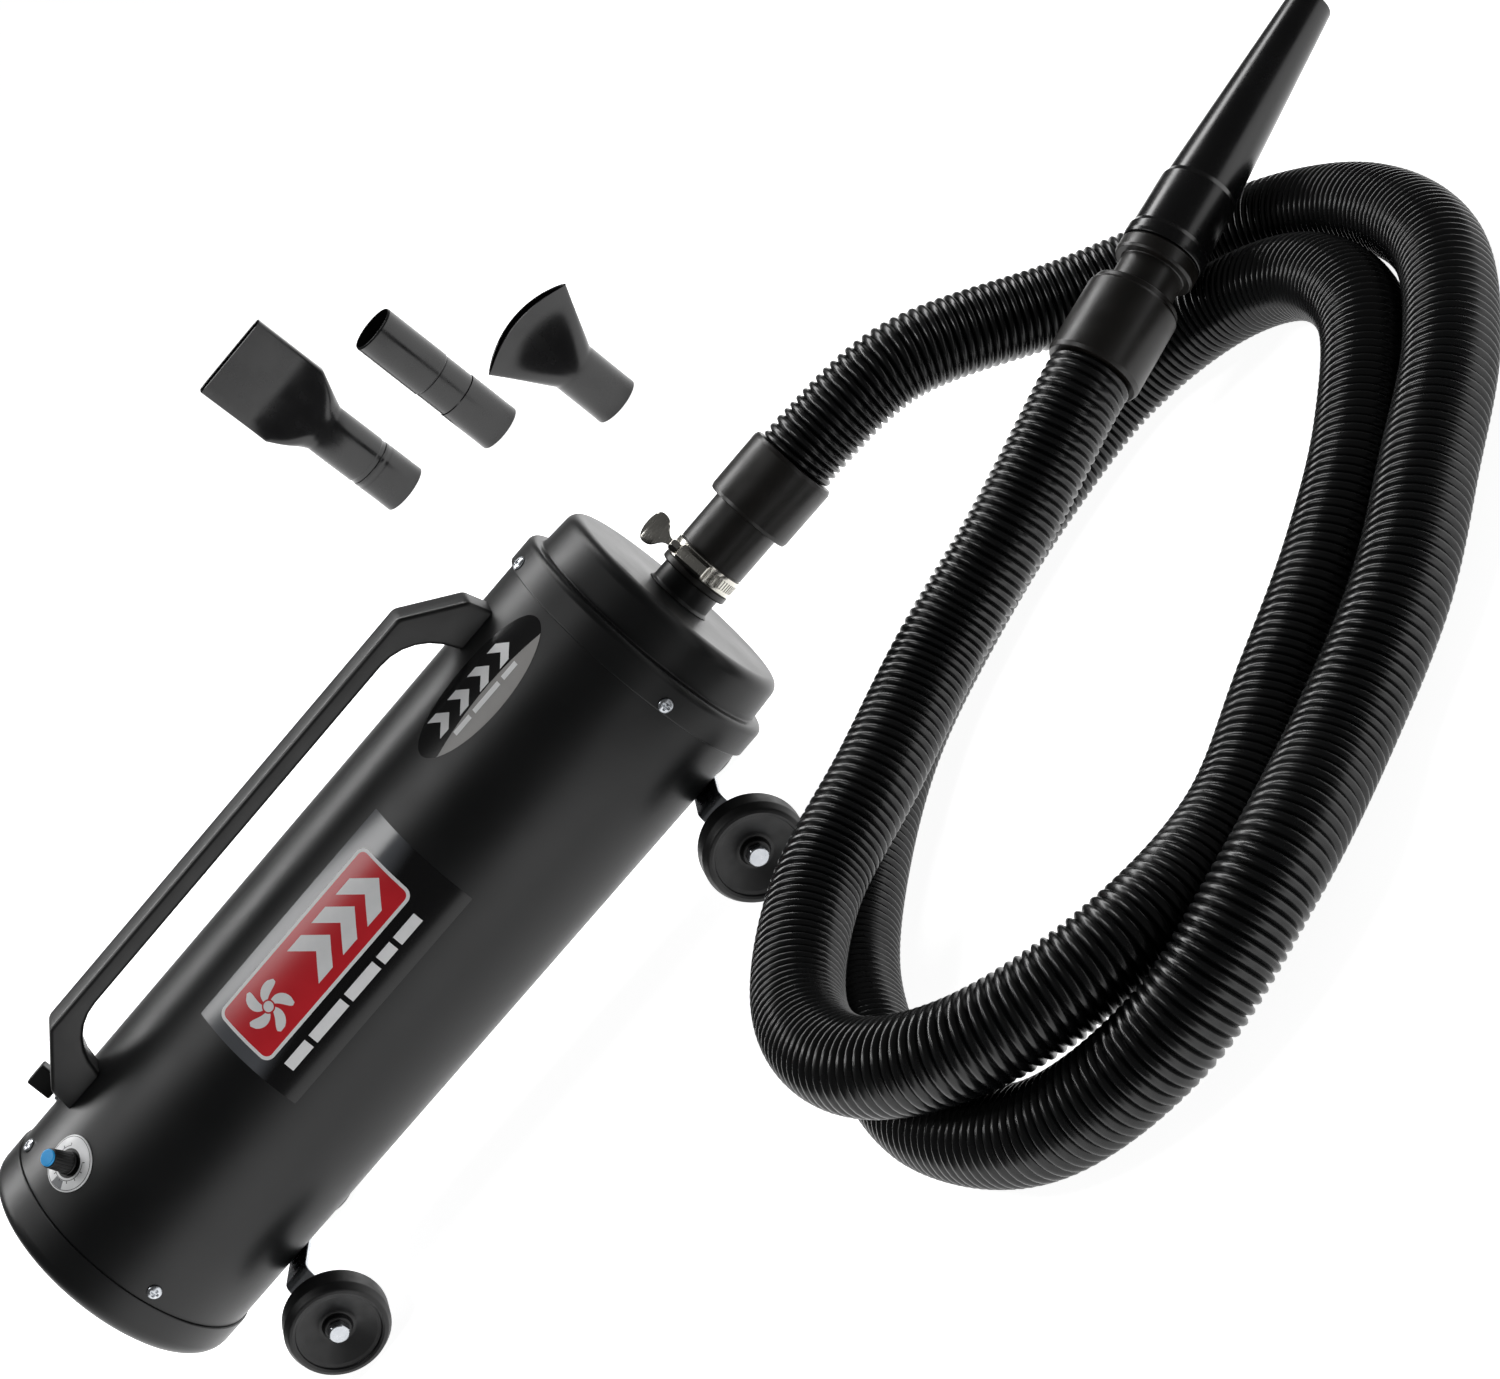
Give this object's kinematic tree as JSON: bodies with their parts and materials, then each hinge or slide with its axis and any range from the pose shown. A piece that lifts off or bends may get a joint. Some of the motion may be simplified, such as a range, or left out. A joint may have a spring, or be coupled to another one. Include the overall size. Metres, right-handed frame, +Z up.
{
  "type": "car dryer blower",
  "caption": "Canister blower on fixed wheels with a carrying handle, speed dial, clamped ribbed hose with a tapered nozzle, and loose spare nozzles for drying cars.",
  "frame": {"origin": "on the floor, in the middle of the box round the canister, its hose connector and the standing spare nozzles", "axes": "+X along the canister towards the outlet, +Y from the canister towards the spare nozzles, +Z up"},
  "size_m": [1.2258, 1.7976, 0.3095],
  "materials": {
    "black_coat": "fine textured powder coat",
    "zinc": "bright zinc plate",
    "aluminium": "mill finish",
    "black_plastic": "moulded, satin",
    "hose_plastic": "ribbed, glossy",
    "rubber": "moulded, semi-matt",
    "tyre_rubber": "moulded, matt",
    "dial_print": "printed dial plate",
    "blue_plastic": "moulded, glossy",
    "foam": "open-cell filter foam",
    "steel_sheet": "plain grey",
    "copper": "copper windings and laminations"
  },
  "bodies": {
    "blower": {"body_tube": "black_coat", "rear_cap": "black_coat", "front_cap": "black_coat", "intake_grille": "black_coat", "intake_filter": "foam", "rear_cap_screw_1": "zinc", "rear_cap_screw_2": "zinc", "rear_cap_screw_3": "zinc", "rear_cap_screw_4": "zinc", "front_cap_screw_1": "zinc", "front_cap_screw_2": "zinc", "front_cap_screw_3": "zinc", "front_cap_screw_4": "zinc", "handle": "black_plastic", "handle_screw_rear": "zinc", "axle_strap_rear": "zinc", "axle_strap_screw_rear": "zinc", "axle_bolt_rear_near": "zinc", "axle_nut_rear_near": "zinc", "axle_bolt_rear_far": "zinc", "axle_nut_rear_far": "zinc", "fan_case_rear": "steel_sheet", "motor_frame_rear": "steel_sheet", "handle_screw_front": "zinc", "axle_strap_front": "zinc", "axle_strap_screw_front": "zinc", "axle_bolt_front_near": "zinc", "axle_nut_front_near": "zinc", "axle_bolt_front_far": "zinc", "axle_nut_front_far": "zinc", "fan_case_front": "steel_sheet", "motor_frame_front": "steel_sheet", "dial_plate": "dial_print", "speed_control": "black_plastic", "switch_body": "black_plastic", "switch_nut": "zinc", "outlet_neck": "black_coat", "hose_connector": "black_plastic", "clamp_band": "zinc", "clamp_housing": "zinc", "outlet_cuff": "rubber", "hose": "hose_plastic", "tool_cuff": "rubber", "tool_coupling": "black_plastic"},
    "wheel_front_near": {"wheel_front_near": "tyre_rubber"},
    "wheel_front_far": {"wheel_front_far": "tyre_rubber"},
    "rotor_front": {"impeller_front": "aluminium", "armature_front": "copper"},
    "wheel_rear_near": {"wheel_rear_near": "tyre_rubber"},
    "wheel_rear_far": {"wheel_rear_far": "tyre_rubber"},
    "rotor_rear": {"impeller_rear": "aluminium", "armature_rear": "copper"},
    "speed_dial": {"speed_knob": "black_plastic", "knob_cap": "blue_plastic"},
    "power_switch": {"switch_paddle": "black_plastic"},
    "clamp_key": {"clamp_thumb_screw": "zinc"},
    "nozzle": {"blower_nozzle": "black_plastic"},
    "slot_nozzle": {"spare_slot_nozzle": "black_plastic"},
    "extension": {"spare_extension": "black_plastic"},
    "fan_nozzle": {"spare_fan_nozzle": "black_plastic"}
  },
  "joints": [
    {"name": "wheel_front_near_spin", "type": "hinge", "parent": "blower", "child": "wheel_front_near", "pos_m": [0.1635, -0.62765, 0.038], "axis": [0, 1, 0], "continuous": true},
    {"name": "wheel_front_far_spin", "type": "hinge", "parent": "blower", "child": "wheel_front_far", "pos_m": [0.1635, -0.42365, 0.038], "axis": [0, 1, 0], "continuous": true},
    {"name": "wheel_rear_near_spin", "type": "hinge", "parent": "blower", "child": "wheel_rear_near", "pos_m": [-0.2875, -0.62765, 0.038], "axis": [0, 1, 0], "continuous": true},
    {"name": "wheel_rear_far_spin", "type": "hinge", "parent": "blower", "child": "wheel_rear_far", "pos_m": [-0.2875, -0.42365, 0.038], "axis": [0, 1, 0], "continuous": true},
    {"name": "motor_rear_spin", "type": "hinge", "parent": "blower", "child": "rotor_rear", "pos_m": [-0.152, -0.52565, 0.1595], "axis": [1, 0, 0], "continuous": true},
    {"name": "motor_front_spin", "type": "hinge", "parent": "blower", "child": "rotor_front", "pos_m": [0.058, -0.52565, 0.1595], "axis": [1, 0, 0], "continuous": true},
    {"name": "speed_dial_turn", "type": "hinge", "parent": "blower", "child": "speed_dial", "pos_m": [-0.311, -0.57486, 0.24827], "axis": [0, -0.4848, 0.8746], "range_deg": [-135, 135]},
    {"name": "power_switch_rock", "type": "hinge", "parent": "blower", "child": "power_switch", "pos_m": [-0.311, -0.47644, 0.24827], "axis": [1, 0, 0], "range_deg": [-24, 0]},
    {"name": "clamp_key_turn", "type": "hinge", "parent": "blower", "child": "clamp_key", "pos_m": [0.2833, -0.55137, 0.17888], "axis": [0, 0.6018, 0.7986], "continuous": true},
    {"name": "nozzle_pull_off", "type": "slide", "parent": "blower", "child": "nozzle", "axis": [0.9205, 0.3907, 0], "range_m": [0, 0.06]},
    {"name": "slot_nozzle_lift", "type": "slide", "parent": "blower", "child": "slot_nozzle", "axis": [0, 0, 1], "range_m": [0, 0.15]},
    {"name": "extension_lift", "type": "slide", "parent": "blower", "child": "extension", "axis": [0, 0, 1], "range_m": [0, 0.15]},
    {"name": "fan_nozzle_lift", "type": "slide", "parent": "blower", "child": "fan_nozzle", "axis": [0, 0, 1], "range_m": [0, 0.15]}
  ]
}
